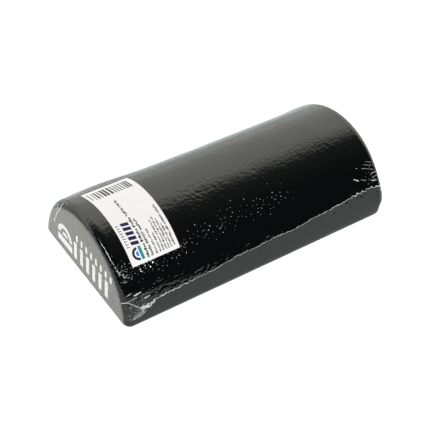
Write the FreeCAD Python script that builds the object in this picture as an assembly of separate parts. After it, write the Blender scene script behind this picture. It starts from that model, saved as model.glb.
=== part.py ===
"""Half-round foam roller, sealed in clear shrink film, with a paper label and a printed end mark.

Millimetres. +Z is up, +X runs along the roller, and the origin is the middle of the underside.
The marked end is at -X, and the film's long weld is on the -Y side.
"""

import math
import os

import FreeCAD
import Part

V = FreeCAD.Vector

# The foam block: a half-round of twelve by six by three inches.
FOAM_LENGTH = 304.8
FOAM_RADIUS = 76.2
RIM_RADIUS = 8.0  # rounding where the curved face meets an end face
BASE_EDGE_RADIUS = 7.5  # rounding all round the flat base

# The film, drawn as a wall that meshes well. Real shrink film is about a tenth of this.
FILM_WALL = 0.3
FOAM_AXIS_Z = FILM_WALL  # the curved face's axis lies in the plane of the foam's base

# The three welds where the folded film was closed: low beads that stand on the film.
BEAD_THICKNESS = 0.7
BEAD_PROUD = 0.9
BEAD_REACH = 30.0  # how far a bead's blank runs past the film, before it is trimmed to the bead

# The long weld's line, seen from the front: along X, and height.
SIDE_WELD_LINE = [
    (-136.0, 22.3),
    (-123.4, 24.6),
    (-112.0, 26.3),
    (-82.5, 26.8),
    (-45.0, 29.2),
    (-8.0, 31.0),
    (34.0, 31.4),
    (84.0, 34.8),
    (122.0, 36.8),
    (134.0, 38.0),
    (148.0, 34.9),
]

# Each end weld climbs from a corner gather on the front, turns the rim and crosses the end face.
NEAR_GATHER = V(-136.0, -73.3, 22.3)
NEAR_RIM = V(-152.4, -64.2, 29.5)
NEAR_FINISH = V(-152.4, 57.5, 30.2)
FAR_GATHER = V(148.0, -68.0, 34.9)
FAR_RIM = V(152.4, -64.6, 33.6)
FAR_FINISH = V(152.4, 58.4, 32.7)

# The paper label, wrapped over the curved face.
LABEL_WIDTH = 50.0
LABEL_LENGTH = 100.0
LABEL_THICKNESS = 0.12
LABEL_START_X = -133.8
LABEL_START_ANGLE = 45.7  # degrees up from the front edge of the base
LABEL_CORNER = 0.8

# The white print on the marked end, let into the foam: a half ring on a bar, beside two rows of bars.
MARK_DEPTH = 0.15
MARK_LOW_Z = 13.4  # from the foam's base up to the print
MARK_CORNER = 0.8
RING_CENTRE_Y = 36.0
RING_OUTER = 13.5
RING_INNER = 8.5
DISC_RADIUS = 5.0
RING_BAR_HEIGHT = 8.0
RING_GAP = 3.5
LARGE_BARS = {"count": 6, "start": 19.0, "width": 5.2, "height": 21.0, "pitch": 11.2, "rise": 0.0}
SMALL_BARS = {"count": 8, "start": 15.0, "width": 3.2, "height": 8.0, "pitch": 8.6, "rise": 24.5}


def half_round(grow):
    """The foam's outline grown by this much all over: a cylinder with rounded rims, cut flat below."""
    radius = FOAM_RADIUS + grow
    length = FOAM_LENGTH + 2 * grow
    log = Part.makeCylinder(radius, length, V(-length / 2, 0, FOAM_AXIS_Z), V(1, 0, 0))
    rims = [edge for edge in log.Edges if isinstance(edge.Curve, Part.Circle)]
    log = log.makeFillet(RIM_RADIUS + grow, rims)
    base_z = FOAM_AXIS_Z - grow
    below = Part.makeBox(2 * length, 4 * radius, 2 * radius, V(-length, -2 * radius, base_z - 2 * radius))
    block = log.cut(below)
    base_edges = [edge for edge in block.Edges if lies_at_height(edge, base_z)]
    return block.makeFillet(BASE_EDGE_RADIUS + grow, base_edges)


def lies_at_height(edge, z):
    """Whether the whole edge lies in a level plane at this height."""
    points = edge.discretize(5)
    return all(abs(point.z - z) < 1e-4 for point in points)


def bar(y, z, width, height):
    """One rounded bar of the print, from its corner that is lowest in Y and Z."""
    plate = Part.makeBox(MARK_DEPTH, width, height, V(-FOAM_LENGTH / 2, y, z))
    along_x = [edge for edge in plate.Edges if abs(edge.tangentAt(edge.FirstParameter).x) > 0.99]
    return plate.makeFillet(MARK_CORNER, along_x)


def half_disc(radius, z):
    """The upper half of a disc let into the marked end face."""
    face_x = -FOAM_LENGTH / 2
    disc = Part.makeCylinder(radius, MARK_DEPTH, V(face_x, RING_CENTRE_Y, z), V(1, 0, 0))
    lower = Part.makeBox(MARK_DEPTH, 2 * radius, radius, V(face_x, RING_CENTRE_Y - radius, z - radius))
    return disc.cut(lower)


def bar_row(row):
    """One row of equal bars, read from +Y to -Y."""
    low = FOAM_AXIS_Z + MARK_LOW_Z + row["rise"]
    starts = [row["start"] - i * row["pitch"] for i in range(row["count"])]
    return [bar(y - row["width"], low, row["width"], row["height"]) for y in starts]


def end_mark_pieces():
    """The print's separate shapes."""
    low = FOAM_AXIS_Z + MARK_LOW_Z
    ring_z = low + RING_BAR_HEIGHT + RING_GAP
    base_bar = bar(RING_CENTRE_Y - RING_OUTER, low, 2 * RING_OUTER, RING_BAR_HEIGHT)
    ring = half_disc(RING_OUTER, ring_z).cut(half_disc(RING_INNER, ring_z))
    return [base_bar, ring, half_disc(DISC_RADIUS, ring_z)] + bar_row(LARGE_BARS) + bar_row(SMALL_BARS)


def trim_to_bead(blank, film_outside):
    """Keeps the part of a blank that stands just proud of the film."""
    return blank.common(half_round(FILM_WALL + BEAD_PROUD)).cut(film_outside)


def side_weld(film_outside):
    """The long weld: a ribbon that follows its line along the front."""
    front_y = -FOAM_RADIUS - BEAD_REACH
    line = Part.BSplineCurve()
    line.interpolate([V(x, front_y, z - BEAD_THICKNESS / 2) for x, z in SIDE_WELD_LINE])
    ribbon = line.toShape().extrude(V(0, 2 * BEAD_REACH, 0))
    return trim_to_bead(ribbon.extrude(V(0, 0, BEAD_THICKNESS)), film_outside)


def end_weld(film_outside, gather, rim, finish):
    """The weld across one end: a flat blank through the gather, the rim and the finish point."""
    outward = V(math.copysign(BEAD_REACH, rim.x), 0, 0)
    forward = (rim - finish).normalize() * BEAD_REACH
    outline = [gather - forward, gather + forward, rim + forward + outward, finish + outward, finish - outward]
    normal = (rim - gather).cross(finish - gather).normalize()
    flat = [point - normal * (point - rim).dot(normal) for point in outline]
    face = Part.Face(Part.makePolygon(flat + flat[:1]))
    face.translate(normal * (-BEAD_THICKNESS / 2))
    return trim_to_bead(face.extrude(normal * BEAD_THICKNESS), film_outside)


def on_label_end(radius, angle):
    """A point on the label's edge nearest the marked end, this many degrees up from the front."""
    turn = math.radians(angle)
    return V(LABEL_START_X, -radius * math.cos(turn), FOAM_AXIS_Z + radius * math.sin(turn))


def product_label():
    """The paper sheet on the outside of the film, with rounded corners."""
    inner = FOAM_RADIUS + FILM_WALL
    outer = inner + LABEL_THICKNESS
    top_angle = LABEL_START_ANGLE + math.degrees(LABEL_LENGTH / inner)
    ends = (LABEL_START_ANGLE, top_angle)
    arc_angles = (LABEL_START_ANGLE, (LABEL_START_ANGLE + top_angle) / 2, top_angle)
    edges = [Part.makeLine(on_label_end(inner, angle), on_label_end(outer, angle)) for angle in ends]
    for radius in (inner, outer):
        edges.append(Part.Arc(*[on_label_end(radius, angle) for angle in arc_angles]).toShape())
    section = Part.Face(Part.Wire(Part.__sortEdges__(edges)))
    sheet = section.extrude(V(LABEL_WIDTH, 0, 0))
    corners = [edge for edge in sheet.Edges if abs(edge.Length - LABEL_THICKNESS) < 1e-3]
    return sheet.makeFillet(LABEL_CORNER, corners)


def build():
    """Every sub-part by its node name."""
    foam = half_round(0)
    film_outside = half_round(FILM_WALL)
    mark = end_mark_pieces()
    side = side_weld(film_outside)
    return {
        "foam_core": foam.cut(Part.makeCompound(mark)),
        "shrink_film": film_outside.cut(foam),
        "side_weld": side,
        "near_end_weld": end_weld(film_outside, NEAR_GATHER, NEAR_RIM, NEAR_FINISH).cut(side),
        "far_end_weld": end_weld(film_outside, FAR_GATHER, FAR_RIM, FAR_FINISH).cut(side),
        "product_label": product_label(),
        "end_mark": Part.makeCompound(mark),
    }


def main():
    os.makedirs("parts", exist_ok=True)
    for name, shape in build().items():
        box = shape.optimalBoundingBox()
        spans = [(box.XMin, box.XMax), (box.YMin, box.YMax), (box.ZMin, box.ZMax)]
        span_words = " ".join(f"{low:.2f}..{high:.2f}" for low, high in spans)
        print(f"{name}: {len(shape.Solids)} solids, valid {shape.isValid()}, {shape.Volume:.1f} mm3, {span_words}")
        shape.exportStep(f"parts/{name}.step")


main()
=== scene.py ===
import math
import random

import bmesh
import bpy
import numpy as np
from mathutils import Matrix, Vector


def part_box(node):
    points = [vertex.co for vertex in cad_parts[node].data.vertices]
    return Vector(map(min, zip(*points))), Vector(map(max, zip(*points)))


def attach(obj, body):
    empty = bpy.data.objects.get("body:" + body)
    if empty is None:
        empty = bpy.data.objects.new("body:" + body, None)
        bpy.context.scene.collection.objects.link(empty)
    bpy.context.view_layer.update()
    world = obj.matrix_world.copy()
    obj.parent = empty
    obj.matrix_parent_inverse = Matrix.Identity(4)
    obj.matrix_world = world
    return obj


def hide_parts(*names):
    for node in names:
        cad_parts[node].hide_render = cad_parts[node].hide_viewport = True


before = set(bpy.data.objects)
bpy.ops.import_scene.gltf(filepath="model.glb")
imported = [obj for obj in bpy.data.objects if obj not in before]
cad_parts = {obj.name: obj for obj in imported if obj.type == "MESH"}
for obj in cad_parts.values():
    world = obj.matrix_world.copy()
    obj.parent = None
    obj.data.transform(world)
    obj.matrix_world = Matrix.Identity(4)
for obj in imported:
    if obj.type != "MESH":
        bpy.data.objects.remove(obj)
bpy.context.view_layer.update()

MM = 0.001

# -------- sizes, from the parts in model.glb

foam_low, foam_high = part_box("foam_core")
film_low, film_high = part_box("shrink_film")
label_low, label_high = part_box("product_label")
AXIS_Z = foam_low.z
FOAM_RADIUS = foam_high.z - foam_low.z
FOAM_HALF = foam_high.x
FILM_GAP = foam_low.z - film_low.z
FILM_RADIUS = FOAM_RADIUS + FILM_GAP
FILM_HALF = film_high.x

BASE_EDGE = 7.5 * MM  # rounding round the flat base
RIM = 8 * MM  # rounding at the ends
FAR_LOW_RIM = 10 * MM  # and at the plain end's corners with the base
UNDERNEATH = -1.0  # stands for the angle of a point that isn't on the curved face
FACE_RAISE = 0.92  # how far the base's edge climbs to the end face, as a share of the base rounding
FAN_HEIGHT = 0.42  # the middle of an end face's rings, as a share of its height
BEAD_SIZE = 3.2 * MM  # the foam's moulded beads
BEAD_RELIEF = 0.12 * MM  # how far each bead's sides fall away
BEAD_GROOVE = 0.10 * MM  # and the groove round it
FOAM_SHY = 0.05 * MM  # the foam is cut back by this much, so the printed mark stands on it

FILM_RELIEF = 0.03 * MM  # the beads' shape, faintly, in the film
DOME_HEIGHT = 0.19 * MM  # the film over each bead
WAVE_HEIGHT = 0.06 * MM  # fine waves in the film
WAVE_SCALE = 360.0
PATCH_SCALE = 38.0  # patches where the film grips the beads more or less
PIMPLE_SPACING = 2.6 * MM  # small pimples in it
PIMPLE_REACH = 1.0 * MM
PIMPLE_HEIGHT = 0.19 * MM
PIMPLE_LOW_TURN = math.radians(42.5)  # the pimpled band, as an angle up from the front, at the marked end
PIMPLE_HIGH_TURN = math.radians(50)  # and further along
PIMPLE_BAND = math.radians(4)
FILM_TINT = (0.93, 1.0, 0.97, 1)
END_TINT = (0.97, 0.97, 0.91, 1)
FILM_ROUGHNESS = 0.045
END_ROUGHNESS = 0.165
MIRROR_FACING = 0.038  # how much the film mirrors when it faces the eye
MIRROR_GLANCING = 0.74  # and how much more at a glancing angle
CLEAR_OVER_BLACK = 0.08  # how much light passes where only black foam lies below
CLEAR_ON_ENDS = 0.95  # and over the printed ends
END_FOLD = 0.08  # extra mirroring where the film lies double

LABEL_WIDTH = label_high.x - label_low.x
LABEL_START_X = label_low.x
LABEL_START = math.radians(45.7)
LABEL_LENGTH = 100 * MM
LABEL_THICKNESS = 0.12 * MM
LABEL_CORNER = 0.8 * MM
LABEL_GAP = 0.10 * MM  # from the film up to the paper
PRINT_GAP = 0.025 * MM  # and from the paper up to the ink

# How finely the surfaces are drawn. Around the curved face and along the body, each stretch has its start,
# its end and its point spacing. The underside has one spacing. Rims and end faces have a number of rings.
CORNER_STEPS = 7
FOAM_GRID = {
    "arc": [(0, 60, 1.1 * MM), (60, 180, 1.3 * MM)],
    "base": 2.0 * MM,
    "body": [(-FOAM_HALF + RIM, FOAM_HALF - RIM, 1.25 * MM)],
    "rim": 9,
    "cap": 30,
}
FILM_GRID = {
    "arc": [(0, 9, 1.2 * MM), (9, 36, 0.55 * MM), (36, 62, 0.95 * MM), (62, 180, 1.7 * MM)],
    "base": 3.5 * MM,
    "body": [
        (-FILM_HALF + RIM, -118 * MM, 0.55 * MM),
        (-118 * MM, 96 * MM, 1.75 * MM),
        (96 * MM, FILM_HALF - RIM, 0.6 * MM),
    ],
    "rim": 12,
    "cap": 28,
}

# The side weld: millimetres along the roller, and degrees up from the front edge of the base.
SIDE_WELD_ROUTE = [
    (-136, 16.7), (-129, 17.2), (-123.4, 18.5), (-115, 20.0), (-100, 19.9), (-82.5, 20.3), (-64.6, 20.9),
    (-45, 22.2), (-25.2, 23.3), (-7.9, 23.7), (13.5, 24.3), (33.9, 23.9), (58.8, 25.3), (84.2, 26.8),
    (103.6, 27.8), (121.9, 28.6), (134.1, 29.6), (141, 28.7), (146, 28.0),
]
WELD_HOOK = [(146, 28.0), (149.5, 26.6), (149.8, 24.9), (147, 23.6)]

# Creases in the film, each with its thickness in millimetres and its route. Past the rim, the distance
# along the roller goes on down the end face. Drawn in the pale weld material, they are painted highlights.
NEAR_CREASES = [
    (0.85, [(-137.1, 16.0), (-134.6, 18.0), (-133.6, 14.8), (-131.6, 17.3), (-130.0, 14.7), (-128.5, 17.1)]),
    (0.80, [(-131.0, 15.8), (-126.7, 15.2), (-125.6, 18.1), (-123.8, 16.6), (-122.0, 18.6)]),
    (0.55, [(-136.0, 14.0), (-133.2, 16.6), (-130.8, 16.0), (-129.4, 18.2)]),
    (0.42, [(-133.3, 13.8), (-137.2, 12.3), (-141.5, 11.3), (-145.8, 9.8)]),
    (0.16, [(-131.0, 13.2), (-135.0, 11.4), (-139.5, 10.0)]),
    (0.14, [(-136.0, 15.2), (-141.0, 13.4), (-146.5, 11.8)]),
    (0.12, [(-133.5, 14.4), (-138.5, 12.6), (-143.5, 10.6)]),
    (0.14, [(-132.0, 12.4), (-137.0, 10.6), (-142.0, 8.9)]),
    (0.26, [(-155.1, 24.5), (-151.4, 24.3), (-147.8, 24.4), (-145.0, 22.4), (-141.0, 19.8), (-138.8, 17.9),
            (-136.5, 16.5)]),
    (0.22, [(-152.4, 24.5), (-149.0, 24.8), (-146.2, 25.2), (-142.5, 25.6), (-138.3, 25.7)]),
    (0.75, [(-141.4, 27.5), (-137.6, 27.9), (-133.1, 28.2)]),
    (0.32, [(-148.5, 28.8), (-145.8, 29.5), (-143.0, 30.2)]),
    (0.60, [(-132.0, 22.9), (-128.6, 23.1), (-125.4, 23.2)]),
    (0.13, [(-133.9, 25.7), (-129.9, 25.8), (-125.6, 26.1)]),
]
FAR_CREASES = [
    (0.62, [(118.3, 40.1), (121.4, 38.9), (123.9, 37.4)]),
    (0.20, [(126.8, 38.0), (129.5, 36.9), (132.1, 35.2)]),
    (0.45, [(138.1, 34.6), (141.3, 33.3), (145.4, 33.0)]),
    (0.35, [(124.8, 47.1), (126.9, 46.7)]),
    (0.12, [(131.4, 45.5), (138.1, 43.5), (146.0, 40.8)]),
    (0.10, [(135.1, 47.3), (140.8, 45.9), (146.5, 43.9)]),
    (0.10, [(138.9, 49.1), (143.2, 47.7), (145.6, 46.1)]),
    (0.28, [(140.3, 38.8), (143.8, 39.3), (148.6, 38.8)]),
    (0.16, [(140.2, 35.6), (143.8, 36.3), (148.6, 35.8)]),
]
REAR_CREASES = [
    (0.16, [(-146, 123.0), (-138, 124.8), (-124, 124.2), (-110, 124.6), (-98, 123.6)]),
    (0.14, [(-128, 128), (-112, 129.5), (-94, 128.5), (-80, 129.5)]),
    (0.14, [(-150.5, 117), (-149, 120), (-147.8, 126), (-149, 131)]),
    (0.45, [(-150.7, 131.8), (-155.4, 133.5), (-159.7, 138.7), (-162.5, 151.7)]),
    (0.40, [(-149.3, 123.8), (-154.5, 127.1), (-159.2, 135.1)]),
]
# Patches of tiny creases, drawn pale as painted glints: how many, between which distances and angles, and
# how thick in millimetres.
NEAR_FLECKS = [
    (60, (-152, -139), (9, 20), 0.15),
    (30, (-138, -127), (13.5, 19), 0.26),
    (22, (-146, -130), (20, 27), 0.12),
    (26, (-149, -138), (38, 50), 0.20),
]
FAR_FLECKS = [(16, (132, 149), (31, 38), 0.12), (12, (134, 150), (38, 48), 0.08)]
# The band of tiny raised specks, drawn pale as painted glints: between which distances, and the angle of its
# middle along the way.
BLISTER_TRIES = 330
BLISTER_SPACING = 3.6 * MM
BLISTER_ALONG = (-148, 46)
BLISTER_MIDDLE = ((-140, -100, -70, 45), (43, 42.5, 50, 51))
BLISTER_SPREAD = 3.6
BLISTER_SEED = 4
# Short pleats that hang from the side weld towards the plain end, drawn dark as painted shade.
PLEATS = [
    (0.30, [(88.5, 22.9), (87.9, 20.6)]),
    (0.30, [(96.9, 26.4), (99.1, 24.9)]),
    (0.45, [(104.7, 27.0), (104.6, 24.4)]),
    (0.35, [(109.2, 26.9), (110.8, 25.3)]),
    (0.40, [(109.1, 22.6), (108.7, 21.2)]),
    (0.35, [(117.6, 27.0), (118.3, 24.4)]),
    (0.40, [(121.0, 27.3), (125.8, 22.8)]),
    (0.35, [(128.3, 27.7), (129.4, 24.6)]),
    (0.25, [(132.6, 26.5), (135.0, 24.6)]),
    (0.20, [(108.0, 31.6), (113.0, 29.6)]),
    (0.20, [(115.5, 31.8), (119.0, 30.0)]),
]


# -------- node trees


def arithmetic(operation, turned_round=False):
    """A method that adds a maths node for a Python operator."""

    def method(signal, other):
        values = (other, signal) if turned_round else (signal, other)
        return signal.maths(operation, *values)

    return method


class Signal:
    """One number output of a node, which takes Python arithmetic."""

    def __init__(self, tree, socket):
        self.tree = tree
        self.socket = socket

    def maths(self, operation, *values):
        return self.tree.node("ShaderNodeMath", {"operation": operation}, dict(enumerate(values)))["Value"]

    __add__ = arithmetic("ADD")
    __radd__ = arithmetic("ADD", turned_round=True)
    __sub__ = arithmetic("SUBTRACT")
    __rsub__ = arithmetic("SUBTRACT", turned_round=True)
    __mul__ = arithmetic("MULTIPLY")
    __rmul__ = arithmetic("MULTIPLY", turned_round=True)
    __truediv__ = arithmetic("DIVIDE")
    __rtruediv__ = arithmetic("DIVIDE", turned_round=True)
    __pow__ = arithmetic("POWER")

    def size(self):
        return self.maths("ABSOLUTE", self)

    def ramp(self, low, high):
        """0 below low, 1 above high, and smooth between."""
        settings = {"interpolation_type": "SMOOTHSTEP"}
        sockets = {"Value": self, "From Min": low, "From Max": high}
        return self.tree.node("ShaderNodeMapRange", settings, sockets)["Result"]


class Made:
    """A node that has been added, whose outputs are read by name."""

    def __init__(self, tree, node):
        self.tree = tree
        self.node = node

    def __getitem__(self, name):
        return Signal(self.tree, self.node.outputs[name])


class Tree:
    """A node tree that is built by naming nodes, their settings and their sockets."""

    def __init__(self, tree):
        self.tree = tree
        self.tree.nodes.clear()

    def node(self, kind, settings=None, sockets=None):
        node = self.tree.nodes.new(kind)
        for name, value in (settings or {}).items():
            setattr(node, name, value)
        for name, value in (sockets or {}).items():
            if isinstance(value, Signal):
                self.tree.links.new(value.socket, node.inputs[name])
            else:
                node.inputs[name].default_value = value
        return Made(self, node)

    def blend(self, amount, first, second):
        """A colour between two colours."""
        made = self.node("ShaderNodeMix", {"data_type": "RGBA"}, {0: amount, 6: first, 7: second})
        return Signal(self, made.node.outputs[2])

    def mixed_shader(self, amount, first, second):
        return self.node("ShaderNodeMixShader", None, {0: amount, 1: first, 2: second})["Shader"]

    def noise(self, place, scale, detail):
        """Cloudy noise between 0 and 1."""
        sockets = {"Vector": place, "Scale": scale, "Detail": detail}
        return self.node("ShaderNodeTexNoise", None, sockets)["Fac"]

    def cells(self, place, size, feature, **more):
        """A pattern of cells of this size: the distance to each cell's middle or edge, in cell sizes."""
        sockets = dict(more, Vector=place, Scale=1 / size)
        return self.node("ShaderNodeTexVoronoi", {"feature": feature}, sockets)

    def bump(self, height, strength=1.0):
        """The normal of a surface raised by this many metres."""
        sockets = {"Height": height, "Distance": 1.0, "Strength": strength}
        return self.node("ShaderNodeBump", None, sockets)["Normal"]


def new_material(name):
    """A material, its tree, and the place on the piece that its patterns follow."""
    material = bpy.data.materials.new(name)
    material.use_nodes = True
    tree = Tree(material.node_tree)
    return material, tree, tree.node("ShaderNodeTexCoord")["Object"]


def finish_material(tree, surface):
    tree.node("ShaderNodeOutputMaterial", None, {"Surface": surface})


def finish_principled(tree, settings):
    finish_material(tree, tree.node("ShaderNodeBsdfPrincipled", None, settings)["BSDF"])


def grey(level, warmth=0.0):
    return (level * (1 + warmth), level, level * (1 - warmth), 1)


# -------- materials


def foam_material():
    """Black moulded beads: near-black skin, a fine groove round each bead, darker as painted shade, and
    small pores.
    """
    material, tree, place = new_material("moulded bead foam")
    bead = tree.cells(place, BEAD_SIZE, "F1")
    edge = tree.cells(place, BEAD_SIZE, "DISTANCE_TO_EDGE")["Distance"]
    pores = tree.noise(place, 2600.0, 3.0)
    # The grooves between beads are drawn darker: painted shade.
    groove = 1 - edge.ramp(0.0, 0.09)
    tone = tree.node("ShaderNodeSeparateColor", None, {"Color": bead["Color"]})["Red"]
    skin = tree.blend(tone, grey(0.0022), grey(0.0040, 0.03))
    colour = tree.blend(groove * 0.6, skin, grey(0.0010))
    height = (edge.ramp(0.0, 0.3) * 0.10 + pores * 0.025) * MM
    settings = {"Base Color": colour, "Roughness": 0.55 + pores * 0.3, "Normal": tree.bump(height, 0.8)}
    settings["Specular IOR Level"] = 0.1
    finish_principled(tree, settings)
    return material


def film_surface(tree, place):
    """The bumped normal of clear film that clings to beads: low domes, fine waves and small pimples."""
    from_middle = tree.cells(place, BEAD_SIZE, "SMOOTH_F1", Smoothness=0.35)["Distance"]
    wave = tree.noise(place, WAVE_SCALE, 2.0)
    patch = tree.noise(place, PATCH_SCALE, 1.0)
    from_pimple = tree.cells(place, PIMPLE_SPACING, "F1")["Distance"]
    pimple = 1 - from_pimple.ramp(0.0, PIMPLE_REACH / PIMPLE_SPACING)
    parts = tree.node("ShaderNodeSeparateXYZ", None, {"Vector": place})
    along = parts["X"]
    climb = {0: parts["Z"] - AXIS_Z, 1: parts["Y"] * -1}
    turn = tree.node("ShaderNodeMath", {"operation": "ARCTAN2"}, climb)["Value"]

    # The pimples lie in a band that climbs along the roller, and in a patch at the marked end's rim.
    band_middle = PIMPLE_LOW_TURN + along.ramp(-100 * MM, -60 * MM) * (PIMPLE_HIGH_TURN - PIMPLE_LOW_TURN)
    in_band = 1 - (turn - band_middle).size().ramp(PIMPLE_BAND * 0.5, PIMPLE_BAND * 1.5)
    in_band = in_band * (1 - along.ramp(40 * MM, 62 * MM))
    near_rim = 1 - along.ramp(-142 * MM, -134 * MM)
    near_rim = near_rim * (1 - (turn - PIMPLE_HIGH_TURN).size().ramp(math.radians(11), math.radians(17)))

    grip = DOME_HEIGHT * (0.6 + patch.ramp(0.3, 0.7) * 0.8) * (1 - near_rim * 0.6)
    pimpled = pimple * PIMPLE_HEIGHT * (in_band * (0.4 + patch.ramp(0.35, 0.6) * 0.6) + near_rim)
    return tree.bump(wave * WAVE_HEIGHT - from_middle**2 * grip + pimpled)


def film_layer(tree, clear, tint, roughness, normal, mirror):
    """Film that lets this share of light through where it doesn't mirror."""
    through = tree.node("ShaderNodeBsdfTransparent", None, {"Color": grey(clear)})["BSDF"]
    shine = {"Color": tint, "Roughness": roughness, "Normal": normal}
    gloss = tree.node("ShaderNodeBsdfGlossy", None, shine)["BSDF"]
    return tree.mixed_shader(mirror, through, gloss)


def film_material():
    """Clear film that mirrors more at a glancing angle. It lies double on the ends."""
    material, tree, place = new_material("clear shrink film")
    normal = film_surface(tree, place)
    facing = tree.node("ShaderNodeLayerWeight", None, {"Blend": 0.5, "Normal": normal})["Facing"]
    along = tree.node("ShaderNodeSeparateXYZ", None, {"Vector": place})["X"]
    on_end = along.size().ramp(FILM_HALF - 0.8 * MM, FILM_HALF - 0.1 * MM)
    mirror = facing**5 * MIRROR_GLANCING + MIRROR_FACING
    side = film_layer(tree, CLEAR_OVER_BLACK, FILM_TINT, FILM_ROUGHNESS, normal, mirror)
    end = film_layer(tree, CLEAR_ON_ENDS, END_TINT, END_ROUGHNESS, normal, mirror + END_FOLD)
    finish_material(tree, tree.mixed_shader(on_end, side, end))
    return material


def weld_and_glint_material():
    """Film that was melted and gathered: milky where it is thick. On the creases and flecks, its pale colour
    stands for glints: painted highlights.
    """
    material, tree, place = new_material("welded film and painted glints")
    cloud = tree.noise(place, 900.0, 3.0)
    # Milky pale film; on the creases and flecks this pale colour is a painted highlight.
    colour = tree.blend(cloud.ramp(0.3, 0.65), (0.55, 0.57, 0.56, 1), (0.95, 0.95, 0.93, 1))
    settings = {"Base Color": colour, "Roughness": 0.2 + cloud * 0.2, "Alpha": 0.5 + cloud * 0.5}
    settings["Normal"] = tree.bump(cloud * 0.15 * MM)
    finish_principled(tree, settings)
    return material


def glint_speck_material():
    """A tiny raised speck of film, grey to pale as a painted glint."""
    material, tree, place = new_material("painted glint speck")
    cloud = tree.noise(place, 160.0, 1.0)
    # Grey to pale: a painted glint.
    colour = tree.blend(cloud.ramp(0.35, 0.65), grey(0.09), grey(0.55))
    finish_principled(tree, {"Base Color": colour, "Roughness": 0.25 + cloud * 0.2})
    return material


def pleat_shade_material():
    """The inside of a pleat, drawn near-black: painted shade."""
    material, tree, place = new_material("pleat with painted shade")
    cloud = tree.noise(place, 700.0, 2.0)
    # Near-black inside the pleat: painted shade.
    settings = {"Base Color": tree.blend(cloud, grey(0.002), grey(0.008)), "Roughness": 0.45 + cloud * 0.2}
    settings["Specular IOR Level"] = 0.15
    finish_principled(tree, settings)
    return material


def paper_material():
    """Coated white label paper: faint fibres and a soft sheen."""
    material, tree, place = new_material("coated label paper")
    fibre = tree.noise(place, 1500.0, 4.0)
    mottle = tree.noise(place, 70.0, 2.0)
    colour = tree.blend(mottle * 0.5 + fibre * 0.5, (0.86, 0.845, 0.815, 1), (0.93, 0.915, 0.885, 1))
    normal = tree.bump((fibre * 0.008 + mottle * 0.05) * MM)
    settings = {"Base Color": colour, "Roughness": 0.55 + fibre * 0.15, "Normal": normal}
    settings["Specular IOR Level"] = 0.15
    finish_principled(tree, settings)
    return material


def ink_material(name, colour, thin=0.02):
    """Printed ink that the paper shows through a little."""
    material, tree, place = new_material(name)
    speck = tree.noise(place, 2400.0, 2.0)
    paler = tuple(part + (0.8 - part) * thin for part in colour) + (1,)
    shown = tree.blend(speck.ramp(0.35, 0.75), tuple(colour) + (1,), paler)
    settings = {"Base Color": shown, "Roughness": 0.35 + speck * 0.15, "Specular IOR Level": 0.2}
    finish_principled(tree, settings)
    return material


def mark_material():
    """White ink on foam: it skips the grooves between the beads."""
    material, tree, place = new_material("white foam print")
    edge = tree.cells(place, BEAD_SIZE, "DISTANCE_TO_EDGE")["Distance"]
    speck = tree.noise(place, 1800.0, 3.0)
    cover = edge.ramp(0.0, 0.06) * 0.35 + 0.65 - speck.ramp(0.62, 0.8) * 0.3
    colour = tree.blend(cover, grey(0.25), (0.80, 0.80, 0.79, 1))
    normal = tree.bump(edge.ramp(0.0, 0.3) * 0.08 * MM)
    finish_principled(tree, {"Base Color": colour, "Roughness": 0.6 - speck * 0.15, "Normal": normal})
    return material


# -------- the half-round surface


def eased(value, low, high):
    """0 below low, 1 above high, smooth between. high may be below low."""
    t = np.clip((np.asarray(value, float) - low) / (high - low), 0, 1)
    return t * t * (3 - 2 * t)


def spread(stretches):
    """Values from each stretch of (start, end, step), in order, without the last end."""
    rows = []
    for start, end, step in stretches:
        count = max(1, round(abs(end - start) / step))
        rows.append(np.linspace(start, end, count, endpoint=False))
    return np.concatenate(rows)


def arc_points(arc, radius, lift_off):
    """Angles of the points on the curved face, from one base rounding to the other."""
    stretches = [[math.radians(start), math.radians(end), step / radius] for start, end, step in arc]
    stretches[0][0] = lift_off
    stretches[-1][1] = math.pi - lift_off
    return np.append(spread(stretches), math.pi - lift_off)


class Outline:
    """The cross-section as a closed loop of points, and how each point draws in towards an end."""

    def __init__(self, grow, low_rim, grid):
        radius = FOAM_RADIUS + grow
        corner = BASE_EDGE + grow
        low_rim = low_rim + grow
        base = -grow
        foot = math.sqrt((radius - corner) ** 2 - (base + corner) ** 2)
        lift_off = math.atan2(base + corner, foot)

        # The curved face, from the front over the top to the rear.
        turn = arc_points(grid["arc"], radius, lift_off)
        from_base = np.minimum(turn, math.pi - turn)
        low = 1 - eased(from_base, lift_off, math.radians(15))
        rim = RIM + grow + (low_rim - RIM - grow) * low
        sink = eased(turn, lift_off, math.radians(20)) * eased(math.pi - turn, lift_off, math.radians(20))
        draw_z = -rim * np.sin(turn) * sink
        face = (-radius * np.cos(turn), radius * np.sin(turn), rim, rim * np.cos(turn), draw_z)

        # The rounded edge of the base, at the front and, turned round, at the rear.
        end_roll = math.pi / 2 + lift_off
        roll = np.linspace(0, end_roll, CORNER_STEPS, endpoint=False)
        edge_y = -foot - corner * np.sin(roll)
        edge_z = base + corner * (1 - np.cos(roll))
        edge_rim = np.full(len(roll), low_rim)
        raise_z = corner * FACE_RAISE * (1 - eased(roll, 0, end_roll))
        front = (edge_y, edge_z, edge_rim, edge_rim, raise_z)
        rear = tuple(part[::-1] for part in (-edge_y, edge_z, edge_rim, -edge_rim, raise_z))

        # The flat underside.
        across = spread([(foot, -foot, grid["base"])])[1:]
        flat_rim = corner + (low_rim - corner) * eased(np.abs(across), foot - 22 * MM, foot)
        flat_raise = np.full(len(across), corner * FACE_RAISE)
        flat = (across, np.full(len(across), base), flat_rim, -across / foot * low_rim, flat_raise)

        columns = [np.concatenate(parts) for parts in zip(front, face, rear, flat)]
        self.y, self.z, self.rim, self.draw_y, self.draw_z = columns
        turns = [np.full(len(roll), lift_off), turn, np.full(len(roll), math.pi - lift_off)]
        self.turn = np.concatenate(turns + [np.full(len(across), UNDERNEATH)])


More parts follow.
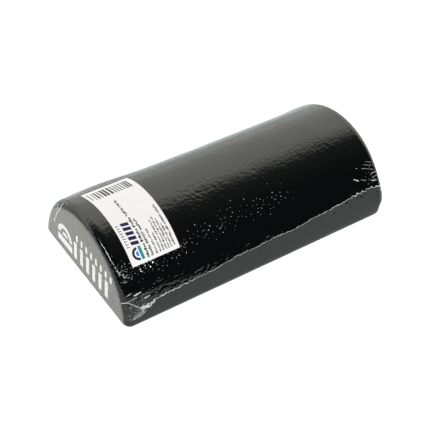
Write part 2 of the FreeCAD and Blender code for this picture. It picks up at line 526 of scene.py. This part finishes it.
def end_rings(outline, half_length, side, grid):
    """Rings from the middle of one end face out to its edge, and round the rim to the body."""
    face_y = outline.y + outline.draw_y
    face_z = outline.z + outline.draw_z
    middle_z = face_z.max() * FAN_HEIGHT
    edge_along = half_length - outline.rim + outline.rim * math.pi / 2
    rings = []
    for k in np.linspace(0, 1, grid["cap"], endpoint=False)[1:]:
        x = np.full_like(face_y, side * half_length)
        away = (1 - k) * np.hypot(face_y, face_z - middle_z)
        rings.append((x, face_y * k, middle_z + (face_z - middle_z) * k, side * (edge_along + away)))
    for angle in np.linspace(0, math.pi / 2, grid["rim"] + 1)[::-1]:
        inset = 1 - math.cos(angle)
        x = side * (half_length - outline.rim * (1 - math.sin(angle)))
        along = side * (half_length - outline.rim + outline.rim * angle)
        rings.append((x, outline.y + outline.draw_y * inset, outline.z + outline.draw_z * inset, along))
    return rings


def half_round_rings(near, far, half_length, grid):
    """Rings from the middle of one end face to the other's: x, y, z and unrolled distance."""
    body = []
    for share in spread(grid["body"])[1:] / (half_length - RIM):
        x = share * (half_length - (near.rim if share < 0 else far.rim))
        body.append((x, near.y, near.z, x))
    rings = end_rings(near, half_length, -1, grid) + body + end_rings(far, half_length, 1, grid)[::-1]
    return np.array(rings).transpose(1, 0, 2)


def grid_faces(rings, around):
    """Quads between neighbouring rings, and a fan to a middle point at each end."""
    faces = []
    for i in range(rings - 1):
        low, high = i * around, (i + 1) * around
        for j in range(around):
            k = (j + 1) % around
            faces.append((low + j, high + j, high + k, low + k))
    first, last = rings * around, rings * around + 1
    top = (rings - 1) * around
    for j in range(around):
        k = (j + 1) % around
        faces.append((first, j, k))
        faces.append((last, top + k, top + j))
    return faces


def smooth_mesh(name, points, faces, material):
    """An object at the origin from points and faces, shaded smooth."""
    mesh = bpy.data.meshes.new(name)
    mesh.from_pydata([tuple(p) for p in points], [], faces)
    mesh.polygons.foreach_set("use_smooth", [True] * len(mesh.polygons))
    mesh.materials.append(material)
    mesh.update()
    piece = bpy.data.objects.new(name, mesh)
    bpy.context.collection.objects.link(piece)
    return piece


def closed_block(name, grow, grid, material):
    """A half-round surface. It returns the object, and each point's angle and unrolled distance."""
    near = Outline(grow, RIM, grid)
    far = Outline(grow, FAR_LOW_RIM, grid)
    half_length = FOAM_HALF + grow
    x, y, z, along = half_round_rings(near, far, half_length, grid)
    rings, around = x.shape
    points = np.stack([x.ravel(), y.ravel(), z.ravel() + AXIS_Z], axis=1)
    middles = [(side * half_length, 0, AXIS_Z + z[row].mean()) for side, row in ((-1, 0), (1, -1))]
    piece = smooth_mesh(name, np.vstack([points, middles]), grid_faces(rings, around), material)
    turn = np.append(np.tile(near.turn, rings), (UNDERNEATH, UNDERNEATH))
    return piece, turn, np.append(along.ravel(), (1, 1))


# -------- how the film lies


def weld_turn(x):
    """The side weld's angle up from the front, at this distance along the roller in metres."""
    distances, angles = np.array(SIDE_WELD_ROUTE).T
    return np.radians(np.interp(x, distances * MM, angles))


JAG_RANDOM = np.random.RandomState(5)
JAG_STEPS = np.cumsum(JAG_RANDOM.uniform(0.9, 2.6, 220)) - 160
JAG_SIZES = JAG_RANDOM.uniform(-1, 1, 220)


def zigzag(x):
    """How far the weld jags across its route: finely at first, and in pleats towards the plain end."""
    x = np.asarray(x, float) / MM
    pleats = eased(x, 96, 122) * (0.95 * np.sin(x * 1.02) + 0.3 * np.sin(x * 2.03 + 1.0))
    wander = 0.3 * np.sin(x * 0.13) + 0.2 * np.sin(x * 0.41 + 2.0)
    jags = np.interp(x, JAG_STEPS, JAG_SIZES) * (0.6 + 0.3 * eased(x, -60, -110))
    return (pleats + wander + jags) * MM


# Slow waves over the whole film: how fast each runs along and around, its phase, and its height.
WAVES = [
    (0.105, 0.021, 0.4, 0.050), (0.052, 0.118, 1.9, 0.045), (-0.081, 0.152, 3.1, 0.030),
    (0.190, 0.066, 5.2, 0.020), (-0.151, 0.232, 0.9, 0.014), (0.262, -0.172, 2.4, 0.010),
]
# Sharp-topped folds: how fast each runs along and around, and its phase.
CRUMPLES = [(1.45, 0.55, 0.3), (-0.6, 1.7, 1.1), (1.1, -1.35, 2.6), (0.35, 2.2, 4.0), (2.1, 0.2, 5.0)]
# Where the film stands loose, and where it is crumpled: how far it stands off, then the middle and the
# reach of the place along the roller, then its middle and reach in degrees.
LOOSE_PLACES = [(2.3, (-112, 42), (138, 13)), (1.1, (134, 17), (140, 12))]
CRUMPLED_PLACES = [(1.1, (-146.5, 8.5), (15, 8)), (0.5, (-142, 12), (27, 6))]
TENT_HEIGHT = 1.0  # the film tents up to the side weld, and falls away faster below it
TENT_REACH_ABOVE = 9.0
TENT_REACH_BELOW = 5.5
CORNER_BULGE = 1.9  # at the plain end's low front corner


def hump(value, middle, reach):
    return np.exp(-(((value - middle) / reach) ** 2))


def raised_places(places, a, degrees):
    """How high these places stand, each fading out from its middle."""
    heights = [height * hump(a, *along) * hump(degrees, *around) for height, along, around in places]
    return sum(heights)


def film_lift(along, turn):
    """How far the film stands off its even surface, in metres, at a place on the curved face."""
    a = np.asarray(along, float) / MM
    s = np.asarray(turn, float) * FOAM_RADIUS / MM
    degrees = np.degrees(turn)
    lift = sum(height * np.sin(ka * a + ks * s + phase) for ka, ks, phase, height in WAVES)
    lift = lift + raised_places(LOOSE_PLACES, a, degrees)

    off_weld = s - (weld_turn(along) * FOAM_RADIUS + zigzag(along)) / MM
    on_weld = eased(a, -146, -128) * eased(a, 158, 148)
    tent_reach = np.where(off_weld > 0, TENT_REACH_ABOVE, TENT_REACH_BELOW)
    lift = lift + on_weld * TENT_HEIGHT * np.exp(-np.abs(off_weld) / tent_reach)

    ridges = sum(1 - np.abs(np.sin(ka * a + ks * s + phase)) for ka, ks, phase in CRUMPLES) / len(CRUMPLES)
    lift = lift + ridges * raised_places(CRUMPLED_PLACES, a, degrees)

    # It lies flat along the base's edges and on the end faces.
    from_base = np.minimum(degrees, 180 - degrees)
    lift = lift * eased(from_base, 7, 13)
    lift = lift + CORNER_BULGE * hump(a, 152, 8) * eased(degrees, 5, 17) * (1 - eased(degrees, 19, 30))
    rim = RIM + FILM_GAP
    over_rim = (np.abs(along) - (FILM_HALF - rim)) / (rim * math.pi / 2)
    return lift * (1 - eased(over_rim, 0.35, 1)) * eased(from_base, 6.3, 8) * MM


def film_point(along, turn, off):
    """A point this far off the film, at an unrolled distance along the roller and an angle."""
    rim = RIM + FILM_GAP
    straight = FILM_HALF - rim
    beyond = np.clip(np.abs(along) - straight, 0, None)
    bend = np.clip(beyond / rim, 0, math.pi / 2)
    down = np.clip(beyond - rim * math.pi / 2, 0, None)
    side = np.sign(along)
    height = off + film_lift(along, turn)
    radius = FILM_RADIUS - rim * (1 - np.cos(bend)) - down + height * np.cos(bend)
    x = np.where(beyond > 0, side * (straight + rim * np.sin(bend) + height * np.sin(bend)), along)
    return np.stack([x, -radius * np.cos(turn), AXIS_Z + radius * np.sin(turn)], axis=-1)


# -------- relief by geometry nodes


def start_geometry_tree(name, numbers):
    """A geometry tree that is given a mesh, a material and these numbers."""
    group = bpy.data.node_groups.new(name, "GeometryNodeTree")
    group.interface.new_socket("Geometry", in_out="INPUT", socket_type="NodeSocketGeometry")
    for number in numbers:
        group.interface.new_socket(number, in_out="INPUT", socket_type="NodeSocketFloat")
    group.interface.new_socket("Material", in_out="INPUT", socket_type="NodeSocketMaterial")
    group.interface.new_socket("Geometry", in_out="OUTPUT", socket_type="NodeSocketGeometry")
    tree = Tree(group)
    return tree, tree.node("NodeGroupInput")


def finish_geometry_tree(tree, made, material):
    real = tree.node("GeometryNodeRealizeInstances", None, {"Geometry": made})["Geometry"]
    sockets = {"Geometry": real, "Material": material}
    dressed = tree.node("GeometryNodeSetMaterial", None, sockets)["Geometry"]
    tree.node("NodeGroupOutput", None, {"Geometry": dressed})
    return tree.tree


def relief_tree():
    """Lowers each point along its normal where it lies off the middle of a bead, and more in the grooves."""
    tree, given = start_geometry_tree("bead relief", ("Bead Size", "Relief", "Groove", "Flat Beyond"))
    place = tree.node("GeometryNodeInputPosition")["Position"]
    dome = tree.cells(place, given["Bead Size"], "SMOOTH_F1", Smoothness=0.6)["Distance"]
    edge = tree.cells(place, given["Bead Size"], "DISTANCE_TO_EDGE")["Distance"]
    sink = dome * given["Relief"] + (1 - edge.ramp(0.0, 0.16)) * given["Groove"]
    along = tree.node("ShaderNodeSeparateXYZ", None, {"Vector": place})["X"].size()
    sink = sink * (1 - along.ramp(given["Flat Beyond"] - 4 * MM, given["Flat Beyond"]))
    sockets = {"Vector": tree.node("GeometryNodeInputNormal")["Normal"], "Scale": sink * -1}
    offset = tree.node("ShaderNodeVectorMath", {"operation": "SCALE"}, sockets)["Vector"]
    sockets = {"Geometry": given["Geometry"], "Offset": offset}
    moved = tree.node("GeometryNodeSetPosition", None, sockets)["Geometry"]
    return finish_geometry_tree(tree, moved, given["Material"])


def blister_tree():
    """Puts a small round blister, of random size, on every point of a mesh."""
    tree, given = start_geometry_tree("blisters", ("Smallest", "Largest"))
    ball = tree.node("GeometryNodeMeshUVSphere", None, {"Radius": 1.0, "Segments": 8, "Rings": 5})["Mesh"]
    chance = tree.node("FunctionNodeRandomValue", {"data_type": "FLOAT"}, {"Seed": BLISTER_SEED})
    share = Signal(tree, chance.node.outputs[1]) ** 1.8
    size = given["Smallest"] + share * (given["Largest"] - given["Smallest"])
    sockets = {"Points": given["Geometry"], "Instance": ball, "Scale": size}
    placed = tree.node("GeometryNodeInstanceOnPoints", None, sockets)["Instances"]
    return finish_geometry_tree(tree, placed, given["Material"])


def apply_nodes(piece, group, **inputs):
    """Runs a geometry tree on a piece and keeps the result as its plain mesh."""
    modifier = piece.modifiers.new(group.name, "NODES")
    modifier.node_group = group
    for item in group.interface.items_tree:
        value = inputs.get(item.name.replace(" ", "_"))
        if item.in_out == "INPUT" and value is not None:
            modifier[item.identifier] = value
    graph = bpy.context.evaluated_depsgraph_get()
    made = bpy.data.meshes.new_from_object(piece.evaluated_get(graph))
    piece.modifiers.remove(modifier)
    old = piece.data
    piece.data = made
    bpy.data.meshes.remove(old)
    made.polygons.foreach_set("use_smooth", [True] * len(made.polygons))
    made.name = piece.name
    return piece


# -------- the pieces


def keep(piece, slot, *nodes):
    """Every piece rides on the one body. Its slot is not used."""
    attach(piece, "root")
    if nodes:
        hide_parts(*nodes)
    return piece


def make_foam(relief):
    foam, _, _ = closed_block("foam_block", -FOAM_SHY, FOAM_GRID, foam_material())
    apply_nodes(foam, relief, Bead_Size=BEAD_SIZE, Relief=BEAD_RELIEF, Groove=BEAD_GROOVE,
                Flat_Beyond=FOAM_HALF - 0.5 * MM, Material=foam.data.materials[0])
    keep(foam, "foam", "foam_core")


def make_film(relief):
    film, turn, along = closed_block("shrink_film_skin", FILM_GAP, FILM_GRID, film_material())
    mesh = film.data
    count = len(mesh.vertices)
    points = np.empty(count * 3)
    normals = np.empty(count * 3)
    mesh.vertices.foreach_get("co", points)
    mesh.vertices.foreach_get("normal", normals)
    lift = np.where(turn > 0, film_lift(along, np.clip(turn, 0, math.pi)), 0)
    moved = points.reshape(-1, 3) + normals.reshape(-1, 3) * lift[:, None]
    mesh.vertices.foreach_set("co", moved.ravel())
    mesh.update()
    apply_nodes(film, relief, Bead_Size=BEAD_SIZE, Relief=FILM_RELIEF, Groove=0.0,
                Flat_Beyond=FILM_HALF - 0.5 * MM, Material=mesh.materials[0])
    keep(film, "film", "shrink_film")


def label_point(u, v, off):
    """A point on the label: u up from its front edge, v across from the edge nearest the marked end."""
    turn = LABEL_START + np.asarray(u, float) / FILM_RADIUS
    return film_point(LABEL_START_X + np.asarray(v, float), turn, off)


def make_label():
    """The paper sheet as a thin closed slab with rounded corners."""
    near_ends = np.concatenate([spread([(0, LABEL_CORNER, 0.2 * MM)]), [LABEL_CORNER]])
    middle = spread([(LABEL_CORNER, LABEL_LENGTH - LABEL_CORNER, 1.2 * MM)])[1:]
    rows = np.concatenate([near_ends, middle, LABEL_LENGTH - near_ends[::-1]])
    from_end = np.minimum(rows, LABEL_LENGTH - rows)
    short = np.clip(LABEL_CORNER - from_end, 0, None)
    inset = LABEL_CORNER - np.sqrt(np.clip(LABEL_CORNER**2 - short**2, 0, None))
    across = 44
    v = inset[:, None] + (LABEL_WIDTH - 2 * inset[:, None]) * np.linspace(0, 1, across)[None, :]
    u = np.broadcast_to(rows[:, None], v.shape)
    top = label_point(u, v, LABEL_GAP + LABEL_THICKNESS).reshape(-1, 3)
    bottom = label_point(u, v, LABEL_GAP).reshape(-1, 3)
    size = len(top)
    grid = np.arange(size).reshape(len(rows), across)
    faces = []
    for a, b in zip(grid[:-1, :-1].ravel(), grid[1:, :-1].ravel()):
        faces.append((a, a + 1, b + 1, b))
        faces.append((size + a, size + b, size + b + 1, size + a + 1))
    edge = np.concatenate([grid[:-1, 0], grid[-1, :-1], grid[:0:-1, -1], grid[0, :0:-1]])
    for a, b in zip(edge, np.roll(edge, -1)):
        faces.append((a, b, size + b, size + a))
    label = smooth_mesh("label_sheet", np.vstack([top, bottom]), faces, paper_material())
    label.data.set_sharp_from_angle(angle=math.radians(40))
    keep(label, "label", "product_label")


PRINT_OFF = LABEL_GAP + LABEL_THICKNESS + PRINT_GAP


class Print:
    """Flat printed shapes gathered into one piece of ink."""

    def __init__(self):
        self.points = []
        self.faces = []

    def band(self, pairs):
        """A shape that runs through pairs of places (u, v) on the label."""
        start = len(self.points)
        self.points += [label_point(*place, PRINT_OFF) for pair in pairs for place in pair]
        for a in range(start, len(self.points) - 2, 2):
            self.faces.append((a, a + 1, a + 3, a + 2))

    def block(self, u0, u1, v0, v1):
        count = max(2, int((u1 - u0) / (2 * MM)) + 2)
        self.band([((u, v0), (u, v1)) for u in np.linspace(u0, u1, count)])

    def slanted(self, u0, u1, v0, v1, lean):
        """A bar whose far end is shifted up the label by lean."""
        pairs = []
        for share in np.linspace(0, 1, 7):
            v = v1 + (v0 - v1) * share
            pairs.append(((u0 + lean * share, v), (u1 + lean * share, v)))
        self.band(pairs)

    def half_ring(self, u_middle, v_base, outer, inner):
        """A half ring that bulges towards the marked end from a straight base."""
        pairs = []
        for angle in np.linspace(0, math.pi, 21):
            u, v = math.cos(angle), math.sin(angle)
            pairs.append([(u_middle - radius * u, v_base - radius * v) for radius in (outer, inner)])
        self.band(pairs)

    def piece(self, name, material):
        made = smooth_mesh(name, self.points, self.faces, material)
        face_outwards(made)
        return keep(made, "label")


def face_outwards(piece):
    """Turns faces that point at the roller's axis the other way."""
    mesh = piece.data
    flip = []
    for face in mesh.polygons:
        away = face.center - Vector((face.center.x, 0, AXIS_Z))
        if face.normal.dot(away) < 0:
            flip.append(face.index)
    for index in flip:
        mesh.polygons[index].flip()
    mesh.update()


LETTER_WIDTH = 0.72  # as a share of its height

# The rows of text in each ink, in millimetres: start and end up the label, distance across it, and height.
BLACK_ROWS = [(2.8, 69.0, 16.9, 2.5), (3.2, 41.0, 21.0, 2.4), (3.2, 27.5, 26.2, 1.8)]
GREY_ROWS = [(3.4, 22.0, 30.2, 1.6), (3.4, 34.0, 33.4, 1.6), (3.4, 36.0, 36.4, 1.6), (3.4, 33.0, 39.2, 1.6),
             (3.4, 27.0, 42.0, 1.6)]
LAST_ROW = (4.2, 47.0, 44.9, 2.0)


def text_row(ink, rng, u0, u1, v0, height):
    """A row of small blocks that stand for words, at a place given in millimetres."""
    u, u1, v0, height = u0 * MM, u1 * MM, v0 * MM, height * MM
    v1 = v0 + height
    left = rng.randint(3, 8)
    while u < u1:
        width = height * LETTER_WIDTH * rng.uniform(0.6, 1.15)
        kind = rng.random()
        low, high = v0, v1
        if kind < 0.22:
            low = v0 + height * 0.35
        elif kind < 0.4:
            high = v0 + height * 0.62
        if kind > 0.78:
            ink.block(u, u + width * 0.34, v0, v1)
            ink.block(u + width * 0.6, u + width, low, high)
        else:
            ink.block(u, min(u + width, u1), low, high)
        u += width + height * 0.2
        left -= 1
        if left == 0:
            u += height * 0.5
            left = rng.randint(3, 8)


def make_print():
    """Everything that is printed on the label, gathered by the colour of its ink."""
    rng = random.Random(11)
    navy, teal, blue, black, grey_ink = Print(), Print(), Print(), Print(), Print()

    # A half ring over a bar, with a dot, as on the end of the foam.
    navy.half_ring(9.6 * MM, 10.3 * MM, 6.2 * MM, 3.9 * MM)
    teal.block(3.4 * MM, 15.8 * MM, 11.6 * MM, 14.6 * MM)
    blue.half_ring(9.6 * MM, 10.3 * MM, 2.4 * MM, 0.02 * MM)
    for i in range(5):
        start = (17.4 + i * 4.9) * MM
        navy.slanted(start, start + 3.3 * MM, 7.4 * MM, 15.0 * MM, 1.1 * MM)
    for i in range(9):
        start = (17.4 + i * 2.75) * MM
        grey_ink.block(start, start + 1.5 * MM, 2.5 * MM, 3.1 * MM)
        grey_ink.block(start, start + 0.7 * MM, 3.1 * MM, 5.2 * MM)

    for row in BLACK_ROWS:
        text_row(black, rng, *row)
    for row in GREY_ROWS:
        text_row(grey_ink, rng, *row)
    text_row(black, rng, *LAST_ROW)

    # A bar code of random bars, with small digit marks at its side.
    v = 6.5 * MM
    while v < 44.5 * MM:
        width = rng.choice((0.8, 1.2, 1.8, 2.3)) * MM
        black.block(79.0 * MM, 94.5 * MM, v, v + width)
        v += width + rng.choice((0.9, 1.3, 1.7)) * MM
    for i in range(8):
        start = (80.5 + i * 1.8) * MM
        grey_ink.block(start, start + 1.1 * MM, 2.6 * MM, 4.2 * MM)

    navy.piece("label_print_navy", ink_material("navy ink", (0.012, 0.008, 0.07)))
    teal.piece("label_print_teal", ink_material("teal ink", (0.004, 0.29, 0.30)))
    blue.piece("label_print_blue", ink_material("blue ink", (0.004, 0.19, 0.72)))
    black.piece("label_print_black", ink_material("black ink", (0.006, 0.006, 0.007)))
    grey_ink.piece("label_print_grey", ink_material("grey ink", (0.022, 0.021, 0.02)))


TUBE_SIDES = 7


def tube(path, radii, up=None):
    """The points of a tube along a path: ring by ring, and then its two end points."""
    if up is None:
        up = path * (0, 1, 1) - (0, 0, AXIS_Z)
    tangent = np.gradient(path, axis=0)
    tangent /= np.linalg.norm(tangent, axis=1)[:, None]
    across = np.cross(tangent, up)
    across /= np.linalg.norm(across, axis=1)[:, None]
    out = np.cross(across, tangent)
    angles = np.arange(TUBE_SIDES) * 2 * math.pi / TUBE_SIDES
    steps = np.multiply.outer(np.cos(angles), across) + np.multiply.outer(np.sin(angles), out)
    rings = (path + steps * radii[:, None]).transpose(1, 0, 2)
    return np.vstack([rings.reshape(-1, 3), path[:1], path[-1:]])


class Folds:
    """Ridges of film, each a closed tube, gathered into one piece."""

    def __init__(self):
        self.points = []
        self.faces = []

    def add(self, path, radii, up=None):
        shift = len(self.points)
        self.points += list(tube(path, radii, up))
        self.faces += [tuple(i + shift for i in face) for face in grid_faces(len(path), TUBE_SIDES)]

    def piece(self, name, material):
        made = smooth_mesh(name, self.points, self.faces, material)
        bm = bmesh.new()
        bm.from_mesh(made.data)
        bmesh.ops.recalc_face_normals(bm, faces=bm.faces)
        bm.to_mesh(made.data)
        bm.free()
        return made


RIDGE_OFF = 0.12 * MM  # a ridge's middle lies this far off the film
RIDGE_STEP = 0.4 * MM  # between the points along a crease
RIDGE_KNOT = 1.1 * MM  # between its changes of thickness
RIDGE_TAPER = 1.6 * MM  # the length of its thin ends


def rounded_route(route):
    """A route with its corners cut, twice, so that it bends instead of breaking."""
    for _ in range(2):
        early, late = route[:-1] * 0.75 + route[1:] * 0.25, route[:-1] * 0.25 + route[1:] * 0.75
        inner = np.stack([early, late], axis=1).reshape(-1, 2)
        route = np.vstack([route[:1], inner, route[-1:]])
    return route


def crease(folds, route, radius, rng):
    """A ridge of uneven thickness that tapers at both ends, along a route of distances and angles."""
    route = rounded_route(np.array(route) * (MM, math.radians(1)))
    steps = np.hypot(np.diff(route[:, 0]), np.diff(route[:, 1]) * FILM_RADIUS)
    reached = np.append(0, np.cumsum(steps))
    length = reached[-1]
    at = np.arange(0, length, RIDGE_STEP)
    along = np.interp(at, reached, route[:, 0])
    turn = np.interp(at, reached, route[:, 1])
    taper = np.minimum(1, np.minimum(at, length - at) / RIDGE_TAPER + 0.25)
    knots = np.arange(0, length + 2 * MM, RIDGE_KNOT)
    uneven = np.interp(at, knots, rng.uniform(0.6, 1.25, len(knots)))
    folds.add(film_point(along, turn, RIDGE_OFF), taper * uneven * radius * MM)


def flecks(folds, count, along_range, turn_range, thickness, rng):
    """Tiny creases at random places and angles in a patch of the film."""
    for _ in range(count):
        along, turn = rng.uniform(*along_range), rng.uniform(*turn_range)
        heading, length = rng.uniform(0, math.pi), rng.uniform(0.8, 2.2)
        end_along = along + math.cos(heading) * length
        end_turn = turn + math.degrees(math.sin(heading) * length * MM / FILM_RADIUS)
        crease(folds, [(along, turn), (end_along, end_turn)], thickness * rng.uniform(0.5, 1.2), rng)


def make_side_weld(material):
    """The long weld: a fine uneven bead that jags and pleats, and ends in a hook at the plain end."""
    rng = np.random.RandomState(8)
    along = np.arange(-136 * MM, 146 * MM, 0.3 * MM)
    turn = weld_turn(along) + zigzag(along) / FOAM_RADIUS
    a = along / MM
    uneven = np.interp(a, JAG_STEPS, rng.uniform(0.25, 1.45, len(JAG_STEPS)))
    strong = 0.17 + 0.2 * eased(a, 62, 120) + 0.26 * eased(a, -70, -112)
    folds = Folds()
    folds.add(film_point(along, turn, RIDGE_OFF), strong * uneven * MM)
    crease(folds, WELD_HOOK, 0.3, rng)
    keep(folds.piece("side_weld_bead", material), "weld", "side_weld")


END_WELD_SPAN = (-64 * MM, 57 * MM)  # from its front end to its rear end
END_WELD_THICKNESS = 0.13 * MM


def make_end_weld(material, node, side, heights, creases, patches, seed):
    """A fine bead across an end face, and the creases where the film was gathered at its front. In the pale
    weld material, the creases and flecks are painted highlights.
    """
    rng = np.random.RandomState(seed)
    y = np.linspace(*END_WELD_SPAN, 180)
    z = np.interp(y, (y[0], y[-1]), np.array(heights) * MM)
    z = z + (0.9 * np.sin(y / MM * 0.09 + 1) + 0.25 * np.sin(y / MM * 0.7)) * MM
    path = np.stack([np.full_like(y, side * (FILM_HALF + 0.02 * MM)), y, z], axis=1)
    folds = Folds()
    uneven = np.interp(y, np.linspace(y[0], y[-1], 60), rng.uniform(0.3, 1.3, 60))
    folds.add(path, uneven * END_WELD_THICKNESS, up=(side, 0, 0))
    for thickness, route in creases:
        crease(folds, route, thickness, rng)
    for count, along_range, turn_range, thickness in patches:
        flecks(folds, count, along_range, turn_range, thickness, rng)
    keep(folds.piece(node + "_bead", material), "weld", node)


def make_pleats():
    """Deep pleats beside the side weld, dark inside as painted shade."""
    rng = np.random.RandomState(3)
    folds = Folds()
    for thickness, route in PLEATS:
        crease(folds, route, thickness * 1.7, rng)
    keep(folds.piece("side_weld_pleats", pleat_shade_material()), "film")


def make_glint_blisters(material):
    """Tiny raised specks in the film, coloured as painted glints, in a band that climbs from the gather to
    the middle of the roller.
    """
    rng = np.random.RandomState(17)
    points = []
    for _ in range(BLISTER_TRIES):
        along = rng.uniform(*BLISTER_ALONG) * MM
        middle = np.interp(along / MM, *BLISTER_MIDDLE)
        turn = math.radians(rng.normal(middle, BLISTER_SPREAD))
        beside_label = LABEL_START_X - MM < along < LABEL_START_X + LABEL_WIDTH + MM
        under_label = beside_label and turn > LABEL_START - 0.01
        point = film_point(along, turn, 0.02 * MM)
        crowded = any(np.linalg.norm(point - other) < BLISTER_SPACING for other in points)
        if not under_label and not crowded:
            points.append(point)
    specks = smooth_mesh("film_blisters", points, [], material)
    apply_nodes(specks, blister_tree(), Smallest=0.22 * MM, Largest=0.52 * MM, Material=material)
    keep(specks, "weld")


FLOOR_GLOW = 1.0
FLOOR_REACH = 12.0


def make_stage():
    """A pale, faintly mottled floor that runs to the horizon."""
    material, tree, place = new_material("pale floor")
    colour = tree.blend(tree.noise(place, 3.0, 2.0), grey(0.43), grey(0.47))
    settings = {"Base Color": colour, "Roughness": 0.9, "Emission Color": grey(1.0)}
    settings["Emission Strength"] = FLOOR_GLOW
    finish_principled(tree, settings)
    r = FLOOR_REACH
    corners = [(-r, -r, 0), (r, -r, 0), (r, r, 0), (-r, r, 0)]
    floor = smooth_mesh("floor", corners, [(0, 1, 2, 3)], material)


def reflected_light(name, position, aim, width, height, radiance):
    """An area light of a given brightness, aimed at a point, that shows only in glossy surfaces."""
    lamp = bpy.data.lights.new(name, "AREA")
    lamp.shape = "RECTANGLE"
    lamp.size, lamp.size_y = width, height
    lamp.energy = radiance * math.pi * width * height
    holder = bpy.data.objects.new(name, lamp)
    bpy.context.collection.objects.link(holder)
    holder.location = position
    holder.rotation_euler = (Vector(position) - Vector(aim)).to_track_quat("Z", "Y").to_euler()
    holder.visible_diffuse = False
    holder.visible_camera = False


ROOM_LIGHT = 1.0
DARK_ROOM = 0.10
WALL_TOP = math.radians(79)  # the pale wall's soft upper edge, as an angle up from level
WALL_FULL = math.radians(49)
GLOW_TOP = math.radians(125)  # the faint glow above it
WALL_TURN = 0.4  # how far the wall is turned towards the plain end
WALL_LIGHT = 1.85
GLOW_LIGHT = 0.2
WALL_UPPER_LIGHT = 0.6


def background(tree, colour, strength):
    return tree.node("ShaderNodeBackground", None, {"Color": colour, "Strength": strength})["Background"]


def make_light():
    """A pale room for the matt surfaces. In reflections, a dark room with a pale wall behind the roller."""
    world = bpy.data.worlds.new("room")
    bpy.context.scene.world = world
    world.use_nodes = True
    tree = Tree(world.node_tree)
    way = tree.node("ShaderNodeTexCoord")["Generated"]
    parts = tree.node("ShaderNodeSeparateXYZ", None, {"Vector": way})
    backwards = parts["Y"] + parts["X"] * WALL_TURN
    climb = tree.node("ShaderNodeMath", {"operation": "ARCTAN2"}, {0: parts["Z"], 1: backwards})["Value"]
    wall = (1 - climb.ramp(WALL_FULL, WALL_TOP)) * (climb.ramp(0.05, 0.6) * WALL_UPPER_LIGHT + WALL_LIGHT)
    wall = wall + (1 - climb.ramp(WALL_FULL, GLOW_TOP)) * GLOW_LIGHT
    gloss = tree.node("ShaderNodeLightPath")["Is Glossy Ray"]
    dark = background(tree, (0.85, 1.0, 1.05, 1), DARK_ROOM)
    pale = background(tree, (1.07, 1.0, 0.94, 1), wall)
    seen = tree.node("ShaderNodeAddShader", None, {0: dark, 1: pale})["Shader"]
    plain = background(tree, grey(1.0), ROOM_LIGHT)
    sky = tree.mixed_shader(gloss, plain, seen)
    tree.node("ShaderNodeOutputWorld", None, {"Surface": sky})
    reflected_light("left strip light", (-1.35, -0.16, 0.84), (-0.15, -0.03, 0.07), 0.7, 0.14, 22.0)
    reflected_light("front strip light", (-1.02, -0.98, 0.94), (-0.15, -0.05, 0.05), 0.9, 0.12, 22.0)
    reflected_light("far lamp", (0.6, -2.6, 1.9), (0, 0, 0.05), 0.36, 0.36, 34.0)


CAMERA_AZIMUTH = math.radians(-38.958)
CAMERA_HEIGHT = math.radians(43.915)
CAMERA_ROLL = math.radians(6.128)
CAMERA_DISTANCE = 1.07717
CAMERA_AIM = Vector((-0.01161, -0.00926, 0.02304))
CAMERA_LENS = 92.402


def make_camera():
    a, e = CAMERA_AZIMUTH, CAMERA_HEIGHT
    back = Vector((math.sin(a) * math.cos(e), -math.cos(a) * math.cos(e), math.sin(e)))
    level = Vector((math.cos(a), math.sin(a), 0))
    upright = back.cross(level)
    right = level * math.cos(CAMERA_ROLL) + upright * math.sin(CAMERA_ROLL)
    up = upright * math.cos(CAMERA_ROLL) - level * math.sin(CAMERA_ROLL)
    data = bpy.data.cameras.new("camera")
    data.lens = CAMERA_LENS
    data.sensor_width = 36.0
    data.clip_start = 0.05
    data.clip_end = 60.0
    camera = bpy.data.objects.new("camera", data)
    bpy.context.collection.objects.link(camera)
    turn = Matrix((right, up, back)).transposed()
    camera.matrix_world = Matrix.Translation(CAMERA_AIM + back * CAMERA_DISTANCE) @ turn.to_4x4()
    bpy.context.scene.camera = camera
    bpy.context.scene.view_settings.view_transform = "Standard"


make_camera()
make_stage()
make_light()
relief = relief_tree()
make_foam(relief)
make_film(relief)
make_label()
make_print()
weld = weld_and_glint_material()
make_side_weld(weld)
near_creases = NEAR_CREASES + REAR_CREASES
make_end_weld(weld, "near_end_weld", -1, (29.5, 30.2), near_creases, NEAR_FLECKS, 21)
make_end_weld(weld, "far_end_weld", 1, (33.5, 32.7), FAR_CREASES, FAR_FLECKS, 22)
make_pleats()
make_glint_blisters(glint_speck_material())
bpy.data.objects["end_mark"].material_slots[0].material = mark_material()
